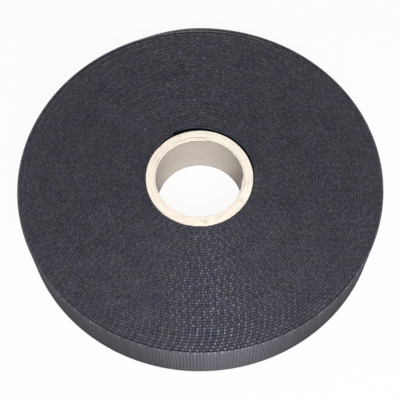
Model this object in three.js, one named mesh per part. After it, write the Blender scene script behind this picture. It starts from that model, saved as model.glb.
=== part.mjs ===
// A roll of woven hook tape, wound on a cardboard core and lying on its side.
// Millimetres, +Z up. The origin is on the core's axis, in the plane that the roll rests on.
import * as THREE from "three";

// The tape
const tapeWidth = 38; // a 1.5 inch tape
const tapePitch = 1.84; // one turn on the next: the woven web with its hooks pressed against it
const rollRadius = 121.2; // to the back of the tape at its free end

// The core
const coreOuterRadius = 35.3;
const coreBoreRadius = 28.5;
const linerThickness = 0.8; // the innermost ply, whose edge shows round the bore
const coreSides = 72;

// The winding, as one unbroken strip. The real roll has 46 turns. There are 24 here, over the same
// face, so a turn stands for about two, and only the first and the last have the tape's own pitch.
const turns = 24;
const stepsPerTurn = 36;
const turnGap = 0.45; // radial space left between turns
const firstRadius = coreOuterRadius + 1.2; // leaves room for the strip that starts the tape

// The free end, which peels off the roll. It bends all along, so it is cut into links.
const freeEndAngle = THREE.MathUtils.degToRad(118); // at the back, out of sight
const links = 4;
const stepsPerLink = 4;

// The adhesive strips: one holds the tape's start to the core, and one holds its free end down
const starterLength = 24;
const starterWidth = 30;
const starterThickness = 0.4;
const closingLength = 32;
const closingWidth = 20;
const closingThickness = 0.4;
const closingDrop = 5; // length over which it bends down from the free end to the turn beneath
const stripStep = 2; // length between two stations on an adhesive strip

const gap = 0.3; // between pieces that touch on the real roll

const turnAngle = 2 * Math.PI;
const linkTurns = 1 / stepsPerTurn; // one link is as long as one step of the last turn
const freeEndStart = turns - links * linkTurns;

// The pitch widens over the second turn and narrows again over the last but one. What it gains in
// between fills the face, from the core to the roll's outer radius.
const widening = 1;
const narrowing = turns - 2;
const face = rollRadius + turnGap - firstRadius;
const extraPitch = (face - tapePitch * (turns + 1)) / (narrowing - widening);

/** What a quantity sums to, n turns on, when it grows from 0 to 1 over the first of them and stays 1. */
function easedCount(n) {
  const past = Math.max(0, n);
  return past < 1 ? (past * past) / 2 : past - 0.5;
}

/** Inner face of the tape, n turns from its start. */
function innerFace(n) {
  const wideTurns = easedCount(n - widening) - easedCount(n - narrowing);
  return firstRadius + tapePitch * n + extraPitch * wideTurns;
}

/** Outer face of the tape: a gap short of the turn that lies on it. */
function outerFace(n) {
  return innerFace(n + 1) - turnGap;
}

/** Direction from the axis, n turns from the tape's start. */
function angleAt(n) {
  return freeEndAngle + (n - turns) * turnAngle;
}

/** Turns that a length takes up round the outside of the roll. */
function turnsOf(length, radius = rollRadius) {
  return length / (turnAngle * radius);
}

/** One station of the tape. */
function tapeStation(n) {
  return { angle: angleAt(n), inner: innerFace(n), outer: outerFace(n) };
}

/** Stations from one count of turns to another, in equal steps. */
function stationsBetween(from, to, steps, station) {
  return Array.from({ length: steps + 1 }, (_, i) => station(from + ((to - from) * i) / steps));
}

/** A closed band round the axis with a rectangular section, which may change from station to station. */
function bandGeometry(stations, low, high) {
  const positions = [];
  for (const { angle, inner, outer } of stations) {
    const corners = [[inner, low], [outer, low], [outer, high], [inner, high]];
    for (const [r, z] of corners) positions.push(r * Math.cos(angle), r * Math.sin(angle), z);
  }
  const index = [];
  const end = 4 * (stations.length - 1);
  for (let ring = 0; ring < end; ring += 4) {
    for (let k = 0; k < 4; k++) {
      const here = ring + k;
      const next = ring + ((k + 1) % 4);
      index.push(here, here + 4, next, next, here + 4, next + 4);
    }
  }
  index.push(0, 1, 2, 0, 2, 3);
  index.push(end, end + 2, end + 1, end, end + 3, end + 2);
  const geometry = new THREE.BufferGeometry();
  geometry.setAttribute("position", new THREE.Float32BufferAttribute(positions, 3));
  geometry.setIndex(index);
  geometry.computeVertexNormals();
  return geometry;
}

/** A tube wall as a revolved rectangle. */
function tubeGeometry(inner, outer, height) {
  const section = [[inner, 0], [outer, 0], [outer, height], [inner, height], [inner, 0]];
  return new THREE.LatheGeometry(section.map(([r, z]) => new THREE.Vector2(r, z)), coreSides);
}

/** Distance from a point to a segment, in the plane. */
function distanceToSegment(point, from, to) {
  const along = to.clone().sub(from);
  const t = THREE.MathUtils.clamp(point.clone().sub(from).dot(along) / along.lengthSq(), 0, 1);
  return point.distanceTo(from.clone().addScaledVector(along, t));
}

/** Least gap between each turn and the next, measured on the strip's own corners and edges. */
function leastTurnGap(stations) {
  const at = (i, side) => {
    const { angle, [side]: radius } = stations[i];
    return new THREE.Vector2(radius * Math.cos(angle), radius * Math.sin(angle));
  };
  let least = Infinity;
  for (let i = 1; i + stepsPerTurn + 1 < stations.length; i++) {
    const above = i + stepsPerTurn;
    for (const side of [-1, 1]) {
      least = Math.min(
        least,
        distanceToSegment(at(i, "outer"), at(above, "inner"), at(above + side, "inner")),
        distanceToSegment(at(above, "inner"), at(i, "outer"), at(i + side, "outer")),
      );
    }
  }
  return least;
}

const tapeFinish = new THREE.MeshStandardMaterial({ color: 0x4a4a50, roughness: 0.85, metalness: 0 });
const boardFinish = new THREE.MeshStandardMaterial({ color: 0xe9e4da, roughness: 0.9, metalness: 0 });
const linerFinish = new THREE.MeshStandardMaterial({ color: 0xcdc6ba, roughness: 0.85, metalness: 0 });
const adhesiveFinish = new THREE.MeshStandardMaterial({ color: 0xd8cdb0, roughness: 0.6, metalness: 0 });

const roll = new THREE.Group();

/** Adds one named piece to the roll. */
function addPiece(name, geometry, material) {
  const mesh = new THREE.Mesh(geometry, material);
  mesh.name = name;
  roll.add(mesh);
  return mesh;
}

// Cardboard core: the board wall and the liner ply inside it, cut to the tape's width
const linerRadius = coreBoreRadius + linerThickness;
const board = addPiece(
  "core_tube",
  tubeGeometry(linerRadius + gap, coreOuterRadius, tapeWidth),
  boardFinish,
);
const liner = addPiece(
  "core_liner",
  tubeGeometry(coreBoreRadius, linerRadius, tapeWidth),
  linerFinish,
);
// A revolved shape stands on three.js's Y axis, so both are turned onto +Z.
for (const tube of [board, liner]) tube.rotation.x = Math.PI / 2;

// Starter strip: lies on the core, under the first stretch of tape
const starterStations = stationsBetween(
  0,
  turnsOf(starterLength, coreOuterRadius),
  Math.round(starterLength / stripStep),
  (n) => ({
    angle: angleAt(n),
    inner: coreOuterRadius + gap,
    outer: coreOuterRadius + gap + starterThickness,
  }),
);
addPiece(
  "starter_strip",
  bandGeometry(starterStations, (tapeWidth - starterWidth) / 2, (tapeWidth + starterWidth) / 2),
  adhesiveFinish,
);

// Tape, wound from the core out to where its free end begins
const halfCut = turnsOf(gap / 2);
const windingSteps = Math.round(freeEndStart * stepsPerTurn);
const windingStations = [
  ...stationsBetween(0, freeEndStart, windingSteps, tapeStation).slice(0, -1),
  tapeStation(freeEndStart - halfCut),
];
addPiece("tape_winding", bandGeometry(windingStations, 0, tapeWidth), tapeFinish);
console.log(`least gap between turns: ${leastTurnGap(windingStations).toFixed(3)} mm`);

// Free end: four links of the same tape, each turning on the one before at its outer face
for (let link = 0; link < links; link++) {
  const from = freeEndStart + link * linkTurns;
  const to = from + linkTurns;
  const cutAtTip = link === links - 1 ? 0 : halfCut;
  addPiece(
    `tape_end_${link + 1}`,
    bandGeometry(stationsBetween(from + halfCut, to - cutAtTip, stepsPerLink, tapeStation), 0, tapeWidth),
    tapeFinish,
  );
}

// Closing strip: stuck over the free end and down onto the turn beneath it
const closingStations = stationsBetween(
  turns - turnsOf(closingLength / 2),
  turns + turnsOf(closingLength / 2),
  Math.round(closingLength / stripStep),
  (n) => {
    const beyond = (n - turns) * turnAngle * rollRadius;
    const down = tapePitch * THREE.MathUtils.smoothstep(beyond, 0, closingDrop);
    const base = outerFace(n) - down + gap;
    return { angle: angleAt(n), inner: base, outer: base + closingThickness };
  },
);
addPiece(
  "closing_strip",
  bandGeometry(closingStations, (tapeWidth - closingWidth) / 2, (tapeWidth + closingWidth) / 2),
  adhesiveFinish,
);

export default roll;
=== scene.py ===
# %% [markdown]
# # A roll of woven hook tape
#
# The object is a flat roll of hook tape, 38 mm wide, wound 46 times round a short cardboard core.
# The tape is a woven web of dark yarn with stiff little hooks on the side that faces the core. Its
# back, which faces outwards, is plain and ribbed.
#
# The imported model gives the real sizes, so it is loaded first. Every piece below is worked out in
# metres in the same frame: Z up, the origin on the core's axis in the plane that the roll rests on.

# %% Load the frame
import math

import bpy
import numpy as np

from mathutils import Matrix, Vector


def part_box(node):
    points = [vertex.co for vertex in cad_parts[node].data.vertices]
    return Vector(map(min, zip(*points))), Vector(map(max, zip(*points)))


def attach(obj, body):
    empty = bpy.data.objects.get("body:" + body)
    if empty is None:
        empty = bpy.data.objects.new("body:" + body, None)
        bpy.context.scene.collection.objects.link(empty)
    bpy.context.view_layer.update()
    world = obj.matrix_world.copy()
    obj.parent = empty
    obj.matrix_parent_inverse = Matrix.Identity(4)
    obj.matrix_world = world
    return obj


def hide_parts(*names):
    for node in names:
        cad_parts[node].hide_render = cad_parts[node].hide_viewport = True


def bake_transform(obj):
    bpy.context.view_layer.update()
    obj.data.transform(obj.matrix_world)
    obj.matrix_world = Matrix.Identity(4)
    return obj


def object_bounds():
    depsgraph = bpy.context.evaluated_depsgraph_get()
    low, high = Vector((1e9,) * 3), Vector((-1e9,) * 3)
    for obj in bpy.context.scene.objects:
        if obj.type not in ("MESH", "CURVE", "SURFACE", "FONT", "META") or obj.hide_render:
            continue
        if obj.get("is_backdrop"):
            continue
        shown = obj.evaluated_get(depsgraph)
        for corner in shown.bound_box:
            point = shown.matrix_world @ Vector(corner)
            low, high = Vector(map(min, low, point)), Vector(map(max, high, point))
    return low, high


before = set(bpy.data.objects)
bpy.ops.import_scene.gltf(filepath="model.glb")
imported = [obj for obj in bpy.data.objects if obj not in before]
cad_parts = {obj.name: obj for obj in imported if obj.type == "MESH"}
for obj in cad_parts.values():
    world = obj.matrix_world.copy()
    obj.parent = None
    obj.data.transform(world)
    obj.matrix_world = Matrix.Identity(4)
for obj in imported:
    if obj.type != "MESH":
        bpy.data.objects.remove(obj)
CAD_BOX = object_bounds()
MM = 0.001

tape_low, tape_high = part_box("tape_winding")
WIDTH = tape_high.z - tape_low.z
CORE_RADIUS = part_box("core_tube")[1].x
LINER_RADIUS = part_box("core_liner")[1].x
print(f"tape {WIDTH / MM:.1f} mm wide, core {2 * CORE_RADIUS / MM:.1f} mm across")

# %% [markdown]
# ## Small helpers
#
# Every surface here is a grid of points worked out as whole numpy arrays, and each grid becomes a
# mesh in the same way. A few small functions cover that: some ease a value or make a smooth random
# line with a fixed seed, and the others fill a mesh, give it its finish and hide the CAD nodes that
# it stands in for.

# %% Helpers for shapes
def ease(t):
    """From 0 to 1 with a level start and end: 3 t squared less 2 t cubed, held at the ends."""
    t = np.clip(t, 0.0, 1.0)
    return t * t * (3.0 - 2.0 * t)


def drift(along, spacing, size, seed):
    """A smooth random line: random heights every `spacing`, eased from one to the next."""
    knots = int(np.max(along) / spacing) + 3
    heights = np.random.default_rng(seed).normal(0.0, size, knots)
    place = along / spacing
    knot = np.floor(place).astype(int)
    share = ease(place - knot)
    return heights[knot] * (1.0 - share) + heights[knot + 1] * share


def round_drift(theta, knots, size, seed):
    """A smooth random line that closes on itself round the axis, eased between its knots."""
    heights = np.random.default_rng(seed).normal(0.0, size, knots)
    place = (theta / (2 * np.pi) % 1.0) * knots
    knot = np.floor(place).astype(int)
    share = ease(place - knot)
    return heights[knot % knots] * (1.0 - share) + heights[(knot + 1) % knots] * share


def add_object(name, data):
    """A new object in the scene with its mesh, camera or lamp."""
    added = bpy.data.objects.new(name, data)
    bpy.context.scene.collection.objects.link(added)
    return added


def fill_mesh(name, points, quads, caps=(), woven=None, across=None):
    """A mesh from an (n, 3) array of points, an (m, 4) array of corner numbers and some end faces.

    woven is a vector for each point, which the finishes read. across is a pair of lengths for each
    point, across the web and along it, and becomes the UV map that gives the yarns' direction.
    """
    sizes = np.concatenate([np.full(len(quads), 4), np.array([len(cap) for cap in caps], int)])
    corners = np.concatenate([quads.ravel(), *[np.asarray(cap) for cap in caps]])
    mesh = bpy.data.meshes.new(name)
    mesh.vertices.add(len(points))
    mesh.vertices.foreach_set("co", points.astype(np.float32).ravel())
    mesh.loops.add(len(corners))
    mesh.loops.foreach_set("vertex_index", corners.astype(np.int32))
    mesh.polygons.add(len(sizes))
    starts = np.concatenate([[0], np.cumsum(sizes)[:-1]])
    mesh.polygons.foreach_set("loop_start", starts.astype(np.int32))
    mesh.update(calc_edges=True)
    mesh.polygons.foreach_set("use_smooth", np.ones(len(sizes), bool))
    if len(caps):
        mesh.set_sharp_from_angle(angle=math.radians(70))
    if woven is not None:
        attribute = mesh.attributes.new("woven", "FLOAT_VECTOR", "POINT")
        attribute.data.foreach_set("vector", (woven / MM).astype(np.float32).ravel())
    if across is not None:
        layer = mesh.uv_layers.new(name="yarns")
        layer.data.foreach_set("uv", (across / WIDTH)[corners].astype(np.float32).ravel())
    return add_object(name, mesh)


def grid_quads(rows, columns, closed_rows=False, closed_columns=False):
    """Corner numbers of the faces of a grid, which may close on itself either way."""
    place = np.arange(rows * columns).reshape(rows, columns)
    if closed_rows:
        place = np.concatenate([place, place[:1]], axis=0)
    if closed_columns:
        place = np.concatenate([place, place[:, :1]], axis=1)
    here, after = place[:-1], place[1:]
    return np.stack([here[:, :-1], after[:, :-1], after[:, 1:], here[:, 1:]], axis=2).reshape(-1, 4)


def finish_piece(piece, finish, nodes, body=None):
    """Gives a piece its finish, hides the CAD nodes it stands in for, and attaches it to a body if
    given.
    """
    piece.data.materials.append(finish)
    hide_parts(*nodes)
    if body:
        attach(piece, body)
    triangles = len(piece.data.loops) - 2 * len(piece.data.polygons)
    print(f"{piece.name}: {triangles} triangles")


# %% [markdown]
# ## Camera
#
# The photograph looks steeply down on the roll from 0.6 m away. The lens, the place and the tilt
# were worked out from the outlines of the roll, of its core and of the bore.

# %% Camera
LENS = 82.5
CAMERA_PLACE = (0.0002, -0.28155, 0.57065)
CAMERA_DOWN = math.radians(63.59)
CAMERA_LEAN = 0.0117

forward = np.array([0.0, math.cos(CAMERA_DOWN), -math.sin(CAMERA_DOWN)])
level_right = np.array([1.0, 0.0, 0.0])
level_up = np.cross(level_right, forward)
right = math.cos(CAMERA_LEAN) * level_right - math.sin(CAMERA_LEAN) * level_up
up = math.sin(CAMERA_LEAN) * level_right + math.cos(CAMERA_LEAN) * level_up

camera_data = bpy.data.cameras.new("camera")
camera_data.lens = LENS
camera_data.sensor_width = 36.0
camera_data.clip_start = 0.01
camera = add_object("camera", camera_data)
turned = Matrix(np.column_stack([right, up, -forward]).tolist()).to_4x4()
camera.matrix_world = Matrix.Translation(CAMERA_PLACE) @ turned
bpy.context.scene.camera = camera
print(f"camera {math.dist(CAMERA_PLACE, (0, 0, WIDTH)):.3f} m from the upper face")

# %% [markdown]
# ## Light and surroundings
#
# The photograph has one soft lamp beyond the camera, a little to its right, and even light all
# round. So one square lamp gives the highlights and the world gives the rest. Camera rays and
# reflections see the world white, which doesn't change the light on the object.

# %% Light and surroundings
KEY_PLACE = (0.10, -0.58, 0.68)
KEY_SIZE = 0.18
KEY_POWER = 7.0
WORLD_LIGHT = 0.42


def add_lamp(name, place, size, power):
    """A square soft lamp that points at the middle of the roll."""
    data = bpy.data.lights.new(name, "AREA")
    data.size = size
    data.energy = power
    lamp = add_object(name, data)
    depth = np.array(place) - np.array([0.0, 0.0, WIDTH / 2])
    depth /= np.linalg.norm(depth)
    side = np.cross([0.0, 0.0, 1.0], depth)
    side /= np.linalg.norm(side)
    axes = np.column_stack([side, np.cross(depth, side), depth])
    lamp.matrix_world = Matrix.Translation(place) @ Matrix(axes.tolist()).to_4x4()


def feed(tree, socket, value):
    """Links another node's output to a socket, or sets the socket to a plain value."""
    if isinstance(value, bpy.types.NodeSocket):
        tree.links.new(value, socket)
    else:
        socket.default_value = value


def add_node(tree, kind, **inputs):
    """A shader node with values or links at its sockets. An underscore stands for a space."""
    node = tree.nodes.new("ShaderNode" + kind)
    for socket, value in inputs.items():
        feed(tree, node.inputs[socket.replace("_", " ")], value)
    return node


def add_mix(tree, share, first, second):
    """One shader where the share is 0 and another where it is 1."""
    node = add_node(tree, "MixShader", Fac=share)
    tree.links.new(first.outputs[0], node.inputs[1])
    tree.links.new(second.outputs[0], node.inputs[2])
    return node.outputs[0]


def add_seen_white(tree):
    """1 for a ray that sees the surroundings, from the camera or by reflection, and 0 for light."""
    path = add_node(tree, "LightPath")
    seen = path.outputs["Is Camera Ray"]
    for kind in ("Is Glossy Ray", "Is Transmission Ray"):
        most = add_node(tree, "Math")
        most.operation = "MAXIMUM"
        tree.links.new(seen, most.inputs[0])
        tree.links.new(path.outputs[kind], most.inputs[1])
        seen = most.outputs[0]
    return seen


add_lamp("key_lamp", KEY_PLACE, KEY_SIZE, KEY_POWER)

world = bpy.data.worlds.new("surroundings")
world.use_nodes = True
world_tree = world.node_tree
lit_by = world_tree.nodes["Background"]
lit_by.inputs["Color"].default_value = (1.0, 1.0, 1.0, 1.0)
lit_by.inputs["Strength"].default_value = WORLD_LIGHT
seen_as = add_node(world_tree, "Background", Strength=1.0)
either = add_mix(world_tree, add_seen_white(world_tree), lit_by, seen_as)
world_tree.links.new(either, world_tree.nodes["World Output"].inputs["Surface"])
bpy.context.scene.world = world
bpy.context.scene.view_settings.view_transform = "Standard"

# %% [markdown]
# ## Floor
#
# A plain pale floor. What the camera sees is mostly a steady white glow and partly the lit
# surface, so the floor looks white and still keeps the roll's soft shadow.

# %% Floor
FLOOR_HALF = 4.0
FLOOR_DROP = 0.05 * MM
FLOOR_COLOUR = (0.72, 0.72, 0.72, 1.0)
FLOOR_GLOW = 0.94


def floor_finish():
    """Matt pale grey under a white glow that only the camera and reflections see."""
    material = bpy.data.materials.new("floor_white")
    material.use_nodes = True
    tree = material.node_tree
    tree.nodes.clear()
    matt = add_node(tree, "BsdfDiffuse", Color=FLOOR_COLOUR)
    glow = add_node(tree, "Emission", Strength=1.0)
    share = add_node(tree, "Math")
    share.operation = "MULTIPLY"
    share.inputs[1].default_value = FLOOR_GLOW
    tree.links.new(add_seen_white(tree), share.inputs[0])
    add_node(tree, "OutputMaterial", Surface=add_mix(tree, share.outputs[0], matt, glow))
    return material


floor_corners = np.array([[-1, -1, 0], [1, -1, 0], [1, 1, 0], [-1, 1, 0]]) * FLOOR_HALF
floor_corners[:, 2] = -FLOOR_DROP
floor = fill_mesh("floor", floor_corners, np.array([[0, 1, 2, 3]]))
floor.data.materials.append(floor_finish())
floor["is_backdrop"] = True
print(f"floor {2 * FLOOR_HALF:.0f} m square")

# %% [markdown]
# ## The path of the tape
#
# A wound tape is a spiral whose radius grows by one thickness a turn. The turns near the core are
# pulled tighter, so the pitch grows a little on the way out. Nothing presses the last turns down,
# so they lie looser, and as the tape is stretched less there, a turn takes up more of it. The weave
# repeats along the tape, not round the roll, so every station is placed by its length along the
# tape. That is also what makes the loops of neighbouring turns fall into curved rows in some
# places and alternate in others. The slack of the last turns sets the long curved rows in front.
#
# Three small things bend the drawn spiral and are left out of its length: each turn steps over the
# start of the tape, the first turns stand off the core at the back, and the strip that closes the
# roll presses the last of the tape down.

# %% The path of the tape
TURNS = 46
TIP_ANGLE = math.radians(118.0)
START_RADIUS = CORE_RADIUS + 2.12 * MM
INNER_PITCH = 1.760 * MM
PITCH_GROWTH = 0.00174 * MM
LOOSE_TURNS = 8.0
LOOSE_RISE = 0.95 * MM
SLACK = 0.0086
FINE_STEPS = 720
SPARE_STEPS = 10


def looseness(n):
    """0 up to where the last, loose turns begin, and from there evenly up to 1 at the tape's end."""
    return np.clip((n - TURNS + LOOSE_TURNS) / LOOSE_TURNS, 0.0, 1.0)


def steady_radius(n):
    """Radius of the tape's back after n turns: the pitch times n, its growth and the looseness."""
    return START_RADIUS + INNER_PITCH * n + PITCH_GROWTH / 2 * n * n + LOOSE_RISE * looseness(n)


def angle_at(n):
    """Direction from the axis after n turns, in radians."""
    return TIP_ANGLE + (n - TURNS) * 2 * math.pi


STEP_SHARE = 0.14
STEP_TURNS = 2.5
STAND_OFF = 1.40 * MM
STAND_OFF_ANGLE = math.radians(75.0)
STAND_OFF_TURNS = 3.0
PRESS = 0.45 * MM
PRESS_TURNS = 0.08


def back_radius(n):
    """The steady radius with the fading step, the bulge off the core and the pressed tip."""
    part = n - np.floor(n)
    step = ease((part - (1.0 - STEP_SHARE)) / STEP_SHARE)
    stepped = INNER_PITCH * (step - part) * np.exp(-n / STEP_TURNS)
    facing = np.clip(np.cos(angle_at(n) - STAND_OFF_ANGLE), 0.0, 1.0)
    bulge = STAND_OFF * ease(facing) * np.clip(1.0 - n / STAND_OFF_TURNS, 0.0, 1.0)
    pressed = PRESS * ease((n - TURNS + PRESS_TURNS) / PRESS_TURNS)
    return steady_radius(n) + stepped + bulge - pressed


fine_turns = np.arange(TURNS * FINE_STEPS + SPARE_STEPS) / FINE_STEPS
fine_radii = steady_radius(fine_turns)
fine_steps = np.pi * (fine_radii[1:] + fine_radii[:-1]) / FINE_STEPS
fine_steps *= 1.0 + SLACK * looseness(fine_turns[1:])
fine_lengths = np.concatenate([[0.0], np.cumsum(fine_steps)])


def turns_at(along):
    """Turns wound after a length of tape, read off the summed lengths of the spiral."""
    return np.interp(along, fine_lengths, fine_turns)


def length_at(n):
    """Length of tape in the first n turns."""
    return np.interp(n, fine_turns, fine_lengths)


LENGTH = length_at(TURNS)
TIP_RADIUS = steady_radius(TURNS)
print(f"{LENGTH:.2f} m of tape, {TIP_RADIUS / MM:.2f} mm from the axis at its end")

# %% [markdown]
# ## Carrying a section along the tape
#
# The web has the same section all along: how far each of its points lies in from the back, and
# how high it is. One function carries such a section along the spiral. The upper edge of the wound
# tape lies a little lower than the core's cut face. It is never quite level, so it drifts up and
# down, and the lower edge drifts a little upwards. Over the last 60 mm of the tape the upper edge
# slopes down by 3 mm.

# %% Carrying a section along the tape
PICK = 2.136 * MM
UPPER_SHORT = 0.30 * MM
END_SLOPE = 3.0 * MM
SLOPE_LENGTH = 60 * MM


def upper_drift(along):
    """How far the tape's upper edge stands above or below its full width, at a length along it."""
    slow = drift(along, 420 * MM, 0.10 * MM, seed=11)
    quick = drift(along, 31 * MM, 0.04 * MM, seed=12)
    slope = END_SLOPE * ease((along - LENGTH + SLOPE_LENGTH) / SLOPE_LENGTH)
    return slow + quick - UPPER_SHORT - slope


def lower_drift(along):
    """How far the tape's lower edge has wandered up. It can't go below the floor."""
    return np.abs(drift(along, 300 * MM, 0.12 * MM, seed=13))


def tape_points(along, inset, height):
    """Points in space of places on the tape: how far along it, in from its back and how high.

    The radius is the back's radius less the inset, in the direction of the place along the tape.
    The height gets the drift of the upper and the lower edge, shared by how high the place is, and
    is held at the floor where it would go below it.
    """
    n = turns_at(along)
    share = np.clip(height / WIDTH, 0.0, 1.0)
    rise = upper_drift(along) * share + lower_drift(along) * (1.0 - share)
    level = np.maximum(height + rise, 0.0)
    radius = back_radius(n) - inset
    theta = angle_at(n)
    return np.stack([radius * np.cos(theta), radius * np.sin(theta), level], axis=-1)


def carry(name, along, inset, height):
    """Carries a closed section along the tape. inset and height have a row for each station."""
    stations, size = inset.shape
    far = np.broadcast_to(along[:, None], inset.shape)
    points = tape_points(far, inset, height)
    middle = stations // 2
    steps = np.hypot(np.diff(inset[middle]), np.diff(height[middle]))
    round_web = np.broadcast_to(np.concatenate([[0.0], np.cumsum(steps)]), inset.shape)
    place = np.arange(stations * size).reshape(stations, size)
    return fill_mesh(
        name,
        points.reshape(-1, 3),
        grid_quads(stations, size, closed_columns=True),
        caps=[place[0], place[-1][::-1]],
        woven=np.stack([far, height, inset], axis=2).reshape(-1, 3),
        across=np.stack([round_web, far], axis=2).reshape(-1, 2),
    )


def stations_between(start, end, per_pick):
    """Lengths along the tape on whole shares of a pick, between the picks nearest start and end."""
    first = round(start / PICK) * per_pick
    last = round(end / PICK) * per_pick
    return np.arange(first, last + 1) * PICK / per_pick


print(f"a pick every {PICK / MM:.2f} mm, {LENGTH / PICK:.0f} picks in all")

# %% [markdown]
# ## Helpers for finishes
#
# All finishes are node trees on the main shader. These functions add a node or two and link them,
# so that a finish reads as a list of what it is made of. The yarns and loops follow the tape, so
# the web's finish reads the place that each mesh keeps in its `woven` attribute: millimetres along
# the tape, millimetres up, and millimetres in from the back.

# %% Helpers for finishes
def start_finish(name, **sockets):
    """A new material, with plain values on its main shader."""
    material = bpy.data.materials.new(name)
    material.use_nodes = True
    shader = material.node_tree.nodes["Principled BSDF"]
    for socket, value in sockets.items():
        shader.inputs[socket.replace("_", " ")].default_value = value
    return material, material.node_tree, shader


def add_math(tree, operation, *values):
    """One sum, product or other operation on sockets or plain numbers."""
    node = add_node(tree, "Math")
    node.operation = operation
    for socket, value in zip(node.inputs, values):
        feed(tree, socket, value)
    return node.outputs[0]


def add_product(tree, value, *others):
    """The product of several sockets or plain numbers."""
    for other in others:
        value = add_math(tree, "MULTIPLY", value, other)
    return value


def add_line(tree, value, times, plus):
    """A value times one number plus another."""
    return add_math(tree, "MULTIPLY_ADD", value, times, plus)


def add_band(tree, value, off, full):
    """0 where a value is at `off` or past it, 1 where it is at `full` or past it, eased between."""
    node = add_node(tree, "MapRange", Value=value, From_Min=min(off, full), From_Max=max(off, full))
    node.interpolation_type = "SMOOTHSTEP"
    node.inputs["To Min"].default_value = float(off > full)
    node.inputs["To Max"].default_value = float(off < full)
    return node.outputs["Result"]


def add_noise(tree, vector, scale, stretch=(1.0, 1.0, 1.0), detail=2.0):
    """Smooth noise from 0 to 1. A stretch above 1 squeezes it in that direction."""
    mapping = add_node(tree, "Mapping", Vector=vector, Scale=stretch)
    node = add_node(tree, "TexNoise", Vector=mapping.outputs[0], Scale=scale, Detail=detail)
    return node.outputs["Fac"]


def add_ramp(tree, share, *stops):
    """Colours along a share from 0 to 1: each stop is a position and a colour."""
    node = add_node(tree, "ValToRGB", Fac=share)
    elements = node.color_ramp.elements
    for i, (position, colour) in enumerate(stops):
        element = elements[i] if i < 2 else elements.new(position)
        element.position = position
        element.color = (*colour, 1.0)
    return node.outputs["Color"]


def add_scaled(tree, colour, size):
    """A colour times a number."""
    node = add_node(tree, "VectorMath")
    node.operation = "SCALE"
    tree.links.new(colour, node.inputs[0])
    feed(tree, node.inputs["Scale"], size)
    return node.outputs["Vector"]


def add_shade(tree, tone, share, size):
    """A tone times 1 plus `size` of a share from 0 to 1: darker where `size` is negative."""
    return add_product(tree, tone, add_line(tree, share, size, 1.0))


def add_chance(tree, number):
    """A random value from 0 to 1 that stays the same between two whole numbers."""
    node = add_node(tree, "TexWhiteNoise")
    node.noise_dimensions = "1D"
    tree.links.new(add_math(tree, "FLOOR", number), node.inputs["W"])
    return node.outputs["Value"]


def add_bump(tree, height, distance, below=None):
    """A normal bent by a height from 0 to 1 that stands for a real distance."""
    node = add_node(tree, "Bump", Height=height, Distance=distance)
    if below:
        tree.links.new(below, node.inputs["Normal"])
    return node.outputs["Normal"]


def end_finish(material, tree, shader, tone, stops, height, distance):
    """Colours along a tone and bumps of a real distance. It returns the finished material."""
    tree.links.new(add_ramp(tree, tone, *stops), shader.inputs["Base Color"])
    tree.links.new(add_bump(tree, height, distance), shader.inputs["Normal"])
    return material


def with_parts(tree, vector):
    """A vector, and its three parts."""
    return vector, *add_node(tree, "SeparateXYZ", Vector=vector).outputs


def read_woven(tree):
    """The `woven` attribute and its parts."""
    node = add_node(tree, "Attribute")
    node.attribute_name = "woven"
    return with_parts(tree, node.outputs["Vector"])


def read_object(tree):
    """The place in metres, on Object coordinates, and its parts."""
    return with_parts(tree, add_node(tree, "TexCoord").outputs["Object"])


# %% [markdown]
# ## The finish of the web
#
# Dark nylon yarn. Weft picks make ribs across the back, with a painted shade as a dark line in the
# furrow between them, and a grain of warp yarns over them. At the edge the weft turns back, and
# every second loop is smooth and catches the light; the loops are also painted lighter, partly their
# own paler yarn and partly a painted glint. Yarns take the dye differently, so each pick has a tone
# of its own, and the whole is a little browner in some places and bluer in others. Below the edge,
# the side that faces the hooks is darker, a painted shade for the gap between the turns, and the rim
# of the back is lighter, a painted highlight.
#
# The tone also falls off downwards, which no real dye does. It stands in for the deep shade near
# the floor in the photograph, so the underside comes out much darker than it should.
#
# The two sides of the yarn shine differently. The cut and pressed edges are dull. On the back, the
# smooth yarns all run one way and shine in a band across their run, which the shader's anisotropy
# gives: the UV map tells it which way is across.

# %% The finish of the web
YARN_BROWNER = (1.00, 0.90, 1.01)
YARN_BLUER = (0.95, 0.87, 1.18)
GRAIN = 0.84
RIB_POWER = 0.7
LOOP_REACH = 1.6
ODD_LOOP = 0.25
# Painted shade: how much darker the side facing the hooks is below the edge, for the gap between
# turns
PAINTED_GAP_SHADE = 0.8
# Painted shade: the share of the web's tone taken away at its lower edge, for the shade near the
# floor
PAINTED_FLOOR_SHADE = 0.82
LOOP_SMOOTHER = 0.60
LOOP_SMOOTHEST = 0.33


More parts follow.
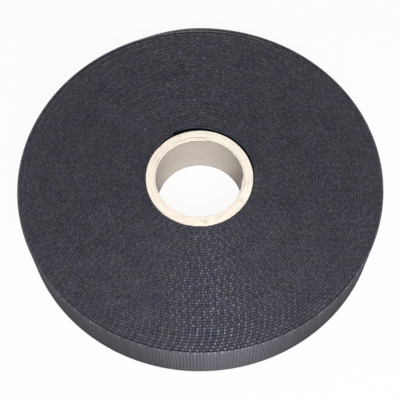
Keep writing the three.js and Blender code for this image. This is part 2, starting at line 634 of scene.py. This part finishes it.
def web_finish(name, dye, painted_rim_highlight, loop_tint_and_glint, dull, painted_furrow_shade, **sockets):
    """Dark yarn of a tone `dye`, with loops lighter by `loop_tint_and_glint`, and furrows between
    the ribs.

    painted_rim_highlight is a painted highlight: how much lighter the last two millimetres of the
    web are, as a share of its tone. loop_tint_and_glint is partly the loops' own paler yarn and
    partly a painted glint, and painted_furrow_shade is a painted shade in the furrows. At the web's
    lower edge a painted shade has taken away the share PAINTED_FLOOR_SHADE of its tone.
    """
    material, tree, shader = start_finish(name, **sockets)
    tangent = add_node(tree, "Tangent")
    tangent.direction_type = "UV_MAP"
    tangent.uv_map = "yarns"
    tree.links.new(tangent.outputs[0], shader.inputs["Tangent"])
    woven, along, height, inset = read_woven(tree)
    place, *_ = read_object(tree)

    # Loops: every second pick in full, the others weakly, each with a strength of its own
    picks = add_product(tree, along, MM / PICK)
    wave = add_math(tree, "COSINE", add_product(tree, picks, math.pi))
    high = add_line(tree, wave, 0.5, 0.5)
    low = add_line(tree, wave, -0.5, 0.5)
    full_loop = add_math(tree, "POWER", high, 6.0)
    loop = add_line(tree, add_math(tree, "POWER", low, 5.0), ODD_LOOP, full_loop)
    luck = add_chance(tree, add_line(tree, picks, 0.5, 0.5))
    strength = add_line(tree, add_math(tree, "POWER", luck, 2.0), 0.9, 0.5)
    from_top = add_math(tree, "SUBTRACT", WIDTH / MM, height)
    from_edge = add_math(tree, "MINIMUM", height, from_top)
    near_edge = add_band(tree, from_edge, LOOP_REACH, 0.9)
    shown = add_product(tree, loop, strength, near_edge, add_band(tree, inset, 1.7, 1.4))

    # Ribs on the back, with a grain of warp yarns that shifts by half at each pick, and the furrows
    # between the ribs, which get a painted shade
    pick_number = add_math(tree, "ADD", picks, 0.5)
    shifted = add_product(tree, add_math(tree, "FLOOR", pick_number), math.pi)
    grain_phase = add_line(tree, height, 2 * math.pi / GRAIN, shifted)
    grain = add_line(tree, add_math(tree, "SINE", grain_phase), 0.5, 0.5)
    away = add_band(tree, from_edge, 0.9, 2.2)
    rib = add_math(tree, "POWER", add_math(tree, "ABSOLUTE", wave), RIB_POWER)
    furrow = add_product(tree, add_math(tree, "SUBTRACT", 1.0, rib), away)

    # The dye: a tone for each pick, mottled in small and in large patches
    own = add_line(tree, add_chance(tree, pick_number), 0.50, 0.75)
    grainy = add_noise(tree, woven, 0.9, stretch=(1.0, 1.0, 1.2))
    fine = add_line(tree, grainy, 4.4, -1.2)
    broad = add_line(tree, add_noise(tree, place, 75.0, detail=3.0), 0.8, 0.6)
    tone = add_product(tree, fine, broad, own)
    # Painted shade: the side that faces the hooks is darker below the edge, for the gap between the
    # turns
    below_edge = add_band(tree, from_edge, 0.9, 2.0)
    inner = add_product(tree, below_edge, add_band(tree, inset, 0.5, 0.8))
    tone = add_shade(tree, tone, inner, -PAINTED_GAP_SHADE)
    # Painted shade: the web is darker downwards, for the shade near the floor
    painted_floor_shade = add_line(tree, height, PAINTED_FLOOR_SHADE * MM / WIDTH, 1.0 - PAINTED_FLOOR_SHADE)
    tone = add_product(tree, tone, painted_floor_shade)
    # Painted highlight: the last two millimetres at both rims of the web are lighter
    tone = add_shade(tree, tone, add_band(tree, from_edge, 2.6, 1.6), painted_rim_highlight)
    tone = add_product(tree, tone, dye)
    # Painted shade: darker in the furrows between the ribs
    tone = add_shade(tree, tone, furrow, -painted_furrow_shade)
    # The loops are lighter: partly their own paler yarn, partly a painted glint that carries the
    # highlights across the turns
    tone = add_line(tree, shown, loop_tint_and_glint, tone)
    hue = add_noise(tree, place, 110.0, detail=2.0)
    colour = add_scaled(tree, add_ramp(tree, hue, (0.36, YARN_BROWNER), (0.64, YARN_BLUER)), tone)
    tree.links.new(colour, shader.inputs["Base Color"])
    rough = add_line(tree, shown, -LOOP_SMOOTHER, dull)
    tree.links.new(add_math(tree, "MAXIMUM", rough, LOOP_SMOOTHEST), shader.inputs["Roughness"])
    bump = add_bump(tree, add_product(tree, grain, away), 0.03 * MM)
    bump = add_bump(tree, add_noise(tree, woven, 6.0), 0.04 * MM, below=bump)
    tree.links.new(bump, shader.inputs["Normal"])
    return material


def hooks_finish():
    """Stiff single filaments: a little lighter than the web, smoother, and uneven in tone."""
    material, tree, shader = start_finish("hook_filament", Roughness=0.55, Specular_IOR_Level=0.35)
    woven, *_ = read_woven(tree)
    tone = add_noise(tree, woven, 0.9, stretch=(1.0, 0.6, 1.0))
    # The hooks are lighter than the web: partly their own paler filament, partly painted light that
    # brightens the shaded gaps between the turns
    stops = (0.30, (0.050, 0.043, 0.053)), (0.70, (0.110, 0.095, 0.118))
    grainy = add_noise(tree, woven, 3.0)
    return end_finish(material, tree, shader, tone, stops, grainy, 0.06 * MM)


EDGE_FINISH = web_finish(
    "woven_edge",
    dye=0.0295,
    painted_rim_highlight=0.0,
    loop_tint_and_glint=0.028,
    dull=0.76,
    painted_furrow_shade=0.5,
    Specular_IOR_Level=0.44,
    Specular_Tint=(0.65, 0.77, 1.0, 1.0),
)
BACK_FINISH = web_finish(
    "woven_back",
    dye=0.046,
    painted_rim_highlight=0.35,
    loop_tint_and_glint=0.018,
    dull=0.68,
    painted_furrow_shade=0.6,
    Specular_IOR_Level=0.76,
    Specular_Tint=(0.83, 0.88, 1.0, 1.0),
    Anisotropic=0.92,
)
HOOKS_FINISH = hooks_finish()
print("finishes:", EDGE_FINISH.name, BACK_FINISH.name, HOOKS_FINISH.name)

# %% [markdown]
# ## The edges of the turns
#
# Seen from above, each turn shows the edge of its web. There the weft yarn turns back round the
# outermost warp, once for each pick, and every second loop stands a little prouder. The edge rises
# from the back to a crest on the hooks' side, so that its broad flank faces up and outwards, and
# the loops on it catch the light in the front of the photograph. It is never even: from pick to
# pick it leans in or out a little, and stands a little higher or lower. One strip with a bulge at
# each loop gives all this. The lower edge is the same strip turned over, with fewer points and
# every second station left out, because it faces the floor.

# %% The edges of the turns
WEB = 0.84 * MM
LOOP_RISE = 0.20 * MM
LOOP_SWELL = 0.24 * MM
OUTER_SWELL = 0.06 * MM
EDGE_LEAN = 0.15 * MM
EDGE_UNEVEN = 0.06 * MM
CREST_DEPTH = 0.8
HALF = WIDTH / 2

# For each point of the edge: its inset and its drop from the edge in millimetres, and its shares
# of a loop's rise and of its swell
EDGE_SHAPE = np.array(
    [
        (0.02, 1.50, 0.0, 0.2),
        (0.00, 0.74, -0.6, 1.0),
        (0.26, 0.54, 0.0, 0.8),
        (0.72, 0.30, 0.6, 0.3),
        (1.26, 0.02, 1.0, 0.0),
        (1.50, 0.08, 1.0, -0.3),
        (1.64, 0.50, 0.3, -0.6),
        (1.05, 1.30, 0.0, 0.0),
    ]
)
LOWER_SHAPE = EDGE_SHAPE[[0, 2, 4, 6, 7]]
OUTER_SHAPE = EDGE_SHAPE * (0.75, 1.0, 0.5, 1.0)

loop_sizes = np.random.default_rng(15).uniform(0.70, 1.15, math.ceil(LENGTH / PICK) + 2)


def loop_bulge(along):
    """How proud the weft loops stand, up to about 1: a wave for the even and for the odd picks.

    Each loop has a size of its own.
    """
    wave = np.cos(np.pi * along / PICK)
    size = loop_sizes[np.round(along / PICK).astype(int)]
    return size * ((0.5 + 0.5 * wave) ** 3 + 0.3 * (0.5 - 0.5 * wave) ** 3)


def edge_points(along, shape=EDGE_SHAPE, swell=LOOP_SWELL, uneven=1.0):
    """Inset and drop of the points round the web's edge, with the loops' rise and swell.

    The edge also leans in and out and stands higher or lower from pick to pick: a smooth random
    line each, in full at the crest and fading to nothing CREST_DEPTH millimetres below it.
    """
    inset, drop, rises, swells = shape.T
    bulge = loop_bulge(along)[:, None]
    near_crest = uneven * np.clip(1.0 - drop / CREST_DEPTH, 0.0, 1.0)
    lean = drift(along, PICK, EDGE_LEAN, seed=16)[:, None] * near_crest
    lower = drift(along, 1.3 * PICK, EDGE_UNEVEN, seed=17)[:, None] * near_crest
    inset = inset * MM - bulge * swells * swell + lean
    return inset, drop * MM + (1.0 - bulge) * rises * LOOP_RISE + lower


def at_edge(inset, drop, upper):
    """Inset and height of a section at the upper edge, or of the same turned over at the lower."""
    if upper:
        return inset, WIDTH - drop
    return inset[:, ::-1], drop[:, ::-1]


def half_web(along, upper):
    """Inset and height of the edge's points and of two corners at the web's half height."""
    inset, drop = edge_points(along, EDGE_SHAPE if upper else LOWER_SHAPE)
    corner = np.full((len(along), 1), WEB)
    inset = np.concatenate([inset, corner, 0 * corner], axis=1)
    drop = np.concatenate([drop, np.full((len(along), 2), HALF)], axis=1)
    return at_edge(inset, drop, upper)


def add_strips(name, section, finish, end, counts):
    """Carries a section along the tape up to a length, at both edges and in several strips.

    counts has the number of strips at an edge and of stations to a pick.
    """
    for side, (strips, per_pick) in counts.items():
        cuts = np.linspace(0.0, end, strips + 1)
        for i in range(strips):
            along = stations_between(cuts[i], cuts[i + 1], per_pick)
            strip = carry(name.format(side, i + 1), along, *section(along, side == "upper"))
            finish_piece(strip, finish, ["tape_winding"], "roll")


LINKS = 4
LINK_TURNS = 1.0 / 36.0
ROOT_TURN = TURNS - LINKS * LINK_TURNS
FULL_TURN = TURNS - 1.15
TAIL_LEAD = 9 * MM
TAIL_START = length_at(ROOT_TURN) - TAIL_LEAD

EDGE_COUNTS = {"upper": (5, 4), "lower": (2, 2)}
add_strips("tape_{}_edge_{}", half_web, EDGE_FINISH, length_at(FULL_TURN), EDGE_COUNTS)

# %% [markdown]
# ## The hooks between the turns
#
# The hooks fill the space between one web and the back of the next, and stop short of the edges.
# Between the turns only the ends of their outermost rows show, as a dark ragged line. A narrow
# strip with a ragged crest stands for them. The first turn is wound on the bare core, where the
# gap looks deep and black, most of all at the back. Under the outermost turn it is a little
# deeper too.

# %% The hooks between the turns
PILE_DROP = 0.60 * MM
PILE_RAGGED = 0.22 * MM
PILE_FRAY = 0.35 * MM
PILE_DEPTH = 8 * MM
FIRST_GAP_DROP = 7.0 * MM
LAST_GAP_DROP = 0.7 * MM
DEEPENING = 20.0


def pile_section(along, upper):
    """Inset and height of the hooks' outer end, with a crest of random height at each station.

    The deep gap over the core fades out in the first quarter of the second turn. The gap under
    the outermost turn deepens within a twentieth of a turn.
    """
    n = turns_at(along)
    below = np.where(n > 1.0, back_radius(n - 1.0), CORE_RADIUS)
    gap = back_radius(n) - WEB - below
    count = len(along)
    rng = np.random.default_rng(21 if upper else 22)
    crest = PILE_RAGGED * rng.uniform(-1.0, 1.0, count)
    at_back = ease(0.75 + 0.75 * np.cos(angle_at(n) - STAND_OFF_ANGLE))
    top = PILE_DROP + FIRST_GAP_DROP * ease(5.0 - 4.0 * n) * (0.1 + 0.9 * at_back)
    lean = rng.uniform(0.25, 0.75, count)
    top = top + LAST_GAP_DROP * ease((n - FULL_TURN) * DEEPENING)
    ragged = rng.uniform(0.0, PILE_FRAY, (2, count))
    inset = np.stack([0 * gap, gap * lean, gap, gap, 0 * gap], axis=1) + WEB
    deep = top + PILE_DEPTH
    drop = np.stack([top + ragged[0], top - crest, top + ragged[1], deep, deep], axis=1)
    return at_edge(inset, drop, upper)


PILE_COUNTS = {"upper": (2, 2), "lower": (1, 1)}
add_strips("hooks_{}_{}", pile_section, HOOKS_FINISH, TAIL_START, PILE_COUNTS)

# %% [markdown]
# ## The outer turn and its ribbed back
#
# The outermost turn shows its whole back: weft ribs that run from edge to edge, and the loops at
# both edges. In the photograph its edge looks smoother than those inside it, so its loops stand
# less proud. A rib is round with a narrow furrow beside it, like half of a cosine wave, so it
# gets six stations. The same section makes the free end further on.

# %% The outer turn and its ribbed back
RIB_RISE = 0.20 * MM
BACK_POINTS = 20
BACK_MARGIN = 2.9 * MM
BACK_PER_PICK = 6
OUTER_UNEVEN = 0.3


def whole_web(along):
    """Inset and height round the whole web: the ribbed back, both edges and a plain inner face."""
    edge_inset, edge_drop = edge_points(along, OUTER_SHAPE, OUTER_SWELL, OUTER_UNEVEN)
    levels = np.linspace(BACK_MARGIN, WIDTH - BACK_MARGIN, BACK_POINTS)
    rib = np.abs(np.cos(np.pi * along / PICK))[:, None] ** RIB_POWER
    inward = (1.0 - rib) * RIB_RISE
    back_inset = np.broadcast_to(inward, (len(along), BACK_POINTS))
    fade = ease((edge_drop - 0.9 * MM) / (1.6 * MM))
    edge_inset = edge_inset + inward * fade
    inset = np.concatenate([back_inset, edge_inset, edge_inset[:, ::-1]], axis=1)
    height = np.concatenate(
        [np.broadcast_to(levels, back_inset.shape), WIDTH - edge_drop, edge_drop[:, ::-1]], axis=1
    )
    return inset, height


along = stations_between(length_at(FULL_TURN), TAIL_START, BACK_PER_PICK)
outer_turn = carry("tape_outer_turn", along, *whole_web(along))
finish_piece(outer_turn, BACK_FINISH, ["tape_winding"], "roll")

# %% [markdown]
# ## The free end
#
# The last 84 mm of tape peel off the roll. The imported model cuts them into four links with a hinge
# before each. Here the cuts lie in the middle of the links.

# %% The free end
BEND_BEFORE = np.array([2.0, 6.0, 6.0, 6.0]) * MM
BEND_AFTER = 4.5 * MM
hinges = [length_at(ROOT_TURN + link * LINK_TURNS) for link in range(LINKS)]
middles = [length_at(ROOT_TURN + (link + 0.5) * LINK_TURNS) for link in range(LINKS - 1)]
tail_cuts = [TAIL_START, *middles, LENGTH]


def place_on_back(along):
    """The point at half height on the tape's back, at a length along it."""
    return tape_points(np.array([along]), np.array([0.0]), np.array([HALF]))[0]


def bend_over_hinge(piece, link):
    """Bakes a piece's transform into its mesh; the points around its hinge are worked out but
    unused.
    """
    start = place_on_back(hinges[link] - BEND_BEFORE[link])
    end = place_on_back(hinges[link] + BEND_AFTER)
    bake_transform(piece)


for link in range(LINKS):
    along = stations_between(tail_cuts[link], tail_cuts[link + 1], BACK_PER_PICK)
    piece = carry(f"free_end_{link + 1}", along, *whole_web(along))
    finish_piece(piece, BACK_FINISH, [f"tape_end_{link + 1}"])
    bend_over_hinge(piece, link)

# %% [markdown]
# ## Hooks on the free end
#
# When the free end peels, its hooks show. Each is a single filament that leaves the web, rises and
# bends over along the tape, and neighbouring columns bend opposite ways. All of them are worked out
# at once, as one small square tube along a path, moved to every place of a staggered grid.

# %% Hooks on the free end
HOOK_STEM = 0.52 * MM
HOOK_BEND = 0.19 * MM
HOOK_THICK = 0.15 * MM
HOOK_COLUMN = 1.0 * MM
HOOK_MARGIN = 2.2 * MM
BEND_STEPS = np.radians([0.0, 50.0, 100.0, 150.0, 195.0])


def hook_shape():
    """One hook as rings of four points: how far along, how deep and how far across.

    The path goes straight in for the stem and then round an arc of more than half a turn. Each
    ring lies across the path: its corners are half a thickness to both sides of it.
    """
    path_along = np.concatenate([[0.0], HOOK_BEND * (1.0 - np.cos(BEND_STEPS))])
    path_depth = np.concatenate([[-0.05 * MM], HOOK_STEM + HOOK_BEND * np.sin(BEND_STEPS)])
    heading = np.concatenate([[0.0], BEND_STEPS])
    half = HOOK_THICK / 2 * np.linspace(1.15, 0.75, len(heading))
    signs = np.array([(-1, -1), (1, -1), (1, 1), (-1, 1)])
    far = path_along[:, None] + (np.cos(heading) * half)[:, None] * signs[:, 0]
    deep = path_depth[:, None] - (np.sin(heading) * half)[:, None] * signs[:, 0]
    wide = half[:, None] * signs[:, 1]
    return np.stack([far, deep, wide], axis=2)


def add_hooks(name, start, end, seed):
    """Hooks on the web's inner face between two lengths, as one mesh."""
    rows = np.arange(math.ceil(start / PICK), math.floor(end / PICK)) * PICK
    columns = np.arange(HOOK_MARGIN, WIDTH - HOOK_MARGIN, HOOK_COLUMN)
    rng = np.random.default_rng(seed)
    row, column = [part.ravel() for part in np.meshgrid(rows, columns, indexing="ij")]
    odd = np.round((column - HOOK_MARGIN) / HOOK_COLUMN) % 2
    way = (1.0 - 2.0 * odd)[:, None, None]
    base_along = row + (0.25 + 0.5 * odd) * PICK + rng.normal(0, 0.08 * MM, row.size)
    base_height = column + rng.normal(0, 0.07 * MM, row.size)
    shape = hook_shape()
    size = rng.uniform(0.9, 1.06, row.size)[:, None, None]
    far = base_along[:, None, None] + way * shape[None, :, :, 0]
    deep = WEB + size * shape[None, :, :, 1]
    high = base_height[:, None, None] + way * shape[None, :, :, 2]
    points = tape_points(far, deep, high).reshape(-1, 3)
    rings, sides = shape.shape[:2]
    tube = grid_quads(rings, sides, closed_columns=True)
    root_face = np.arange(sides)[None, :]
    tip_face = root_face[:, ::-1] + (rings - 1) * sides
    one = np.concatenate([tube, root_face, tip_face])
    first_corner = np.arange(row.size) * rings * sides
    quads = (one[None] + first_corner[:, None, None]).reshape(-1, 4)
    return fill_mesh(name, points, quads, woven=np.stack([far, high, deep], axis=3).reshape(-1, 3))


for link in range(LINKS):
    piece = add_hooks(f"free_end_hooks_{link + 1}", tail_cuts[link], tail_cuts[link + 1], 31 + link)
    finish_piece(piece, HOOKS_FINISH, [f"tape_end_{link + 1}"])
    bend_over_hinge(piece, link)

# %% [markdown]
# ## The board of the core
#
# The core is a board tube wound from plies of pale paper, and sawn to the tape's width. The saw
# leaves the cut faces a little wavy, the plies slightly uneven, and both edges worn. At the back
# the innermost ply has split off and leans in. The tube is made as a profile turned round the
# axis, whose cut faces have a groove at each ply and random waviness. The drawn liner's face
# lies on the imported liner's outer radius, and the board starts a liner's thickness outside it.

# %% The board of the core
LINER = 0.7 * MM
BOARD_INNER = LINER_RADIUS + LINER
PLIES = 6
CORE_STATIONS = 480
CORE_PROUD = 0.15 * MM
PLY_GROOVE = 0.05 * MM
PLY_POINTS = (0.04, 0.25, 0.5, 0.75, 0.96)
SPLIT_DEPTH = 2.4 * MM
SPLIT_LEAN = 0.95 * MM
SPLIT_END = 80.0
SPLIT_ARC = 80.0
END_ARC = 1.2

core_theta = np.arange(CORE_STATIONS) * 2 * np.pi / CORE_STATIONS


def lifted(theta, end, arc, size):
    """How far a loose ply leans in: `size` just past the ply's end, less and less over an arc.

    Both are in degrees, and the arc is negative where it runs clockwise from the end.
    """
    beyond = ((theta - math.radians(end)) * np.sign(arc)) % (2 * np.pi)
    fade = 1.0 - ease(beyond / math.radians(abs(arc)))
    return size * fade * ease(beyond / math.radians(END_ARC))


split = lifted(core_theta, SPLIT_END, SPLIT_ARC, 1.0)


def cut_face(seed):
    """Radius and depth below the face, for each point across the cut face and each direction."""
    ply = (CORE_RADIUS - BOARD_INNER) / PLIES
    radii, depths = [], []
    for k in range(PLIES):
        uneven = round_drift(core_theta, 23, 0.035 * MM, seed + k)
        fibres = round_drift(core_theta, 240, 0.018 * MM, seed + 20 + k)
        for share in PLY_POINTS:
            edge = 1.0 if share in (PLY_POINTS[0], PLY_POINTS[-1]) else 0.0
            radii.append(np.full(CORE_STATIONS, BOARD_INNER + (k + share) * ply))
            depths.append(0.10 * MM + uneven + fibres * (1.0 - edge) + PLY_GROOVE * edge)
    radii, depths = np.array(radii), np.array(depths)
    worn = np.abs(round_drift(core_theta, 60, 0.10 * MM, seed + 50))
    depths[-1] += 0.22 * MM + worn
    depths[-2] += 0.03 * MM
    depths[0] += 0.12 * MM
    radii[-1] -= 0.5 * worn
    return radii, np.maximum(depths, 0.0)


def open_split(radii, depths):
    """Leans the innermost ply in where it has split off, and cuts the gap behind it."""
    first = len(PLY_POINTS)
    radii[:first] -= SPLIT_LEAN * split
    depths[first] += SPLIT_DEPTH * split


def board_section():
    """Radius and height all round: up the outside, in over the upper face, down and out below."""
    top_radii, top_depths = cut_face(40)
    low_radii, low_depths = cut_face(140)
    open_split(top_radii, top_depths)
    dent = round_drift(core_theta, 14, 0.06 * MM, 90)
    wall = np.array([2.0 * MM, HALF, WIDTH - 2.0 * MM])[:, None] + 0 * core_theta
    outside = CORE_RADIUS + dent + 0 * wall
    inside = BOARD_INNER + 0 * wall
    radius = np.concatenate([outside, top_radii[::-1] + dent, inside, low_radii + dent]).T
    top = WIDTH + CORE_PROUD - top_depths[::-1]
    return radius, np.concatenate([wall, top, wall[::-1], low_depths]).T


def round_mesh(name, radius, height):
    """A closed section carried round the axis, with a row of radii and heights a direction."""
    theta = core_theta[:, None]
    points = np.stack([radius * np.cos(theta), radius * np.sin(theta), height], axis=2)
    quads = grid_quads(*radius.shape, closed_rows=True, closed_columns=True)
    return fill_mesh(name, points.reshape(-1, 3), quads)


def read_round(tree, stretch):
    """A place turned round the axis: x, y, and the radius times `stretch`, for rings and streaks."""
    place, x, y, _ = read_object(tree)
    squares = [add_product(tree, part, part) for part in (x, y)]
    radius = add_math(tree, "SQRT", add_math(tree, "ADD", *squares))
    joined = add_node(tree, "CombineXYZ", X=x, Y=y, Z=add_product(tree, radius, stretch))
    return place, joined.outputs[0], radius


def board_finish():
    """Pale board: faint rings where the plies meet, streaks along them, brown specks and scuffs."""
    material, tree, shader = start_finish("core_board", Roughness=0.9, Specular_IOR_Level=0.25)
    place, ringed, radius = read_round(tree, 14.0)
    ply = (CORE_RADIUS - BOARD_INNER) / PLIES
    phase = add_line(tree, radius, math.pi / ply, -math.pi * BOARD_INNER / ply)
    ring = add_math(tree, "ABSOLUTE", add_math(tree, "COSINE", phase))
    seam = add_math(tree, "POWER", ring, 14.0)
    streaks = add_noise(tree, ringed, 110.0, detail=3.0)
    fibres = add_noise(tree, place, 1400.0, detail=3.0)
    specks = add_band(tree, add_noise(tree, place, 420.0, detail=2.0), 0.68, 0.76)
    scuffs = add_band(tree, add_noise(tree, place, 150.0, detail=4.0), 0.60, 0.72)
    broad = add_noise(tree, place, 22.0)
    tone = add_line(tree, streaks, 0.75, add_product(tree, fibres, 0.25))
    tone = add_line(tree, add_math(tree, "SUBTRACT", broad, 0.5), 0.45, tone)
    for mark, size in ((seam, -0.08), (specks, -0.25), (scuffs, -0.16)):
        tone = add_line(tree, mark, size, tone)
    stops = (
        (0.10, (0.46, 0.39, 0.31)),
        (0.34, (0.80, 0.72, 0.62)),
        (0.50, (0.875, 0.81, 0.715)),
        (0.70, (0.905, 0.86, 0.785)),
    )
    return end_finish(material, tree, shader, tone, stops, fibres, 0.06 * MM)


board = round_mesh("core_board_tube", *board_section())
finish_piece(board, board_finish(), ["core_tube"], "roll")

# %% [markdown]
# ## The liner of the core
#
# The innermost ply is a greyer, smoother paper, wound as a helix, so its seam climbs round the
# bore. At the back its upper edge has come away from the board a little, up to where the ply ends,
# and there are two smaller such places on the right. It is a thin tube whose upper edge leans
# inwards there.

# %% The liner of the core
LINER_AIR = 0.05 * MM
LINER_LEAN = 1.25 * MM
# For each smaller flap: its end and its arc in degrees, and how far it leans in
LINER_FLAPS = ((-2.0, -44.0, 1.25 * MM), (38.0, -9.0, 0.70 * MM))
LEAN_REACH = 3.0 * MM
FLARE = 0.50 * MM
LINER_LEVELS = 44
SEAM_TOP = math.radians(62.0)
SEAM_CLIMB = math.radians(52.0) / (30 * MM)
SEAM_STEP = 0.10 * MM
SEAM_FADE = math.radians(60.0)


def liner_section():
    """Radius and height all round: up behind the liner, over its edge and down the bore."""
    theta = core_theta
    flap = sum(lifted(theta, *flap) for flap in LINER_FLAPS)
    away = LINER_LEAN * split + flap + FLARE * (0.6 + 0.4 * np.sin(theta))
    worn = np.abs(round_drift(theta, 90, 0.10 * MM, 61)) + 0.10 * MM
    top = WIDTH + CORE_PROUD - worn - 0.4 * away
    share = np.linspace(0.0, 1.0, LINER_LEVELS)[:, None] ** 0.8
    height = 0.1 * MM + (top - 0.1 * MM) * share
    depth = WIDTH - height
    reach = np.exp(-depth / LEAN_REACH)
    lean = away * reach
    seam = np.angle(np.exp(1j * (theta - SEAM_TOP - SEAM_CLIMB * depth)))
    step = SEAM_STEP * ease(seam / math.radians(1.5) + 0.5) * ease(1.0 - seam / SEAM_FADE)
    waves = round_drift(theta, 17, 0.05 * MM, 62)
    bore = LINER_RADIUS + waves - lean - step
    behind = BOARD_INNER - LINER_AIR - (SPLIT_LEAN + LINER_AIR) * split * reach
    few = np.linspace(0, LINER_LEVELS - 1, 8).astype(int)
    radius = np.concatenate([behind[few], bore[::-1]]).T
    return radius, np.concatenate([height[few], height[::-1]]).T


def liner_finish():
    """Greyish paper with a pale cut edge: soft clouds, streaks down the bore and a few stains."""
    material, tree, shader = start_finish("core_liner", Roughness=0.72, Specular_IOR_Level=0.35)
    place, *_, height = read_object(tree)
    cloudy = add_noise(tree, place, 45.0, stretch=(1.0, 1.0, 0.7), detail=4.0)
    fibres = add_noise(tree, place, 1100.0, stretch=(1.0, 1.0, 0.4), detail=3.0)
    stains = add_band(tree, add_noise(tree, place, 120.0, detail=3.0), 0.60, 0.70)
    cut_edge = add_band(tree, height, WIDTH - 1.30 * MM, WIDTH - 0.60 * MM)
    tone = add_line(tree, fibres, 0.30, add_product(tree, cloudy, 0.45))
    tone = add_line(tree, stains, -0.10, tone)
    tone = add_line(tree, cut_edge, 0.40, tone)
    stops = (
        (0.10, (0.40, 0.355, 0.31)),
        (0.36, (0.555, 0.50, 0.45)),
        (0.55, (0.60, 0.545, 0.49)),
        (0.75, (0.90, 0.83, 0.73)),
    )
    return end_finish(material, tree, shader, tone, stops, fibres, 0.06 * MM)


liner = round_mesh("core_liner_ply", *liner_section())
finish_piece(liner, liner_finish(), ["core_liner"], "roll")

# %% [markdown]
# ## The adhesive strips
#
# Two strips of creped paper tape hold the roll together. One starts the tape on the core, out of
# sight. The other holds the free end down at the back of the roll: it lies on the tape up to the
# tip, bends down to the turn beneath, and has the zigzag ends of a strip torn off a cutter.

# %% The adhesive strips
STRIP_THICK = 0.16 * MM
STRIP_AIR = 0.03 * MM
CLOSING_LENGTH = 32 * MM
CLOSING_WIDTH = 20 * MM
CLOSING_BEND = 4.5 * MM
STARTER_LENGTH = 24 * MM
STARTER_WIDTH = 30 * MM
STARTER_AIR = 6 * STRIP_AIR
TOOTH = 1.6 * MM
TOOTH_REACH = 0.45 * MM
STRIP_STEP = 0.25 * MM
STRIP_LEVEL = 0.4 * MM
RIPPLE = 0.018 * MM
RIPPLE_RUN = 0.42 * MM
RIPPLE_SWAY = 1.9 * MM


def strip_grid(length, width, start):
    """How far along and how high each point of a strip lies, with teeth at both ends."""
    share = np.linspace(0.0, 1.0, int(length / STRIP_STEP) + 1)[:, None]
    levels = np.linspace((WIDTH - width) / 2, (WIDTH + width) / 2, int(width / STRIP_LEVEL) + 1)
    teeth = np.abs((levels / TOOTH) % 1.0 - 0.5) * 2 * TOOTH_REACH
    far = start + teeth + (length - 2 * teeth) * share
    return far, np.broadcast_to(levels, far.shape)


def strip_mesh(name, far, levels, radius, theta):
    """A thin closed strip: an outer sheet at the radius and an inner one a thickness less.

    Its ripples run across it and sway: the sine of the length, shifted by a sine of the height.
    """
    ripple = np.sin(far / RIPPLE_RUN + 2.2 * np.sin(levels / RIPPLE_SWAY)) * RIPPLE
    outer_radius = radius + ripple
    sheets = [
        np.stack([r * np.cos(theta), r * np.sin(theta), levels], axis=2).reshape(-1, 3)
        for r in (outer_radius, outer_radius - STRIP_THICK)
    ]
    rows, columns = far.shape
    count = rows * columns
    outer = grid_quads(rows, columns)
    place = np.arange(count).reshape(rows, columns)
    rim = np.concatenate([place[0, :-1], place[:-1, -1], place[-1, :0:-1], place[:0:-1, 0]])
    after = np.roll(rim, -1)
    sides = np.stack([rim, after, after + count, rim + count], axis=1)
    quads = np.concatenate([outer, sides, outer[:, ::-1] + count])
    kept = np.stack([far, levels, 0 * far], axis=2).reshape(-1, 3)
    return fill_mesh(name, np.concatenate(sheets), quads, woven=np.concatenate([kept, kept]))


def crepe_finish():
    """Creped paper: cream, with wrinkles across its length and a worn tone."""
    material, tree, shader = start_finish("creped_paper", Roughness=0.55)
    woven, *_ = read_woven(tree)
    wrinkles = add_noise(tree, woven, 2.2, stretch=(1.0, 0.25, 1.0), detail=3.0)
    broad = add_noise(tree, woven, 0.12, detail=3.0)
    tone = add_line(tree, wrinkles, 0.5, add_product(tree, broad, 0.5))
    stops = (0.30, (0.56, 0.46, 0.29)), (0.68, (0.76, 0.67, 0.48))
    return end_finish(material, tree, shader, tone, stops, wrinkles, 0.08 * MM)


CREPE_FINISH = crepe_finish()

far, levels = strip_grid(CLOSING_LENGTH, CLOSING_WIDTH, -CLOSING_LENGTH / 2)
turns_there = TURNS + far / (2 * np.pi * TIP_RADIUS)
share = ease((far - 0.2 * MM) / CLOSING_BEND)
under = back_radius(turns_there) * (1.0 - share) + back_radius(turns_there - 1.0) * share
radius = under + STRIP_AIR + STRIP_THICK
closing = strip_mesh("closing_strip_paper", far, levels, radius, angle_at(turns_there))
finish_piece(closing, CREPE_FINISH, ["closing_strip"], "end_link_4")

far, levels = strip_grid(STARTER_LENGTH, STARTER_WIDTH, 0.0)
radius = CORE_RADIUS + STARTER_AIR + STRIP_THICK + 0 * far
starter = strip_mesh("starter_strip_paper", far, levels, radius, angle_at(0.0) + far / CORE_RADIUS)
finish_piece(starter, CREPE_FINISH, ["starter_strip"], "roll")

# %% [markdown]
# ## Sizes
#
# The visual model's box is kept beside the CAD model's, so that the two can be compared.

# %% Sizes
boxes = {"cad": CAD_BOX, "visual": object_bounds()}
for name, (low, high) in boxes.items():
    print(name, [round((b - a) / MM, 2) for a, b in zip(low, high)])
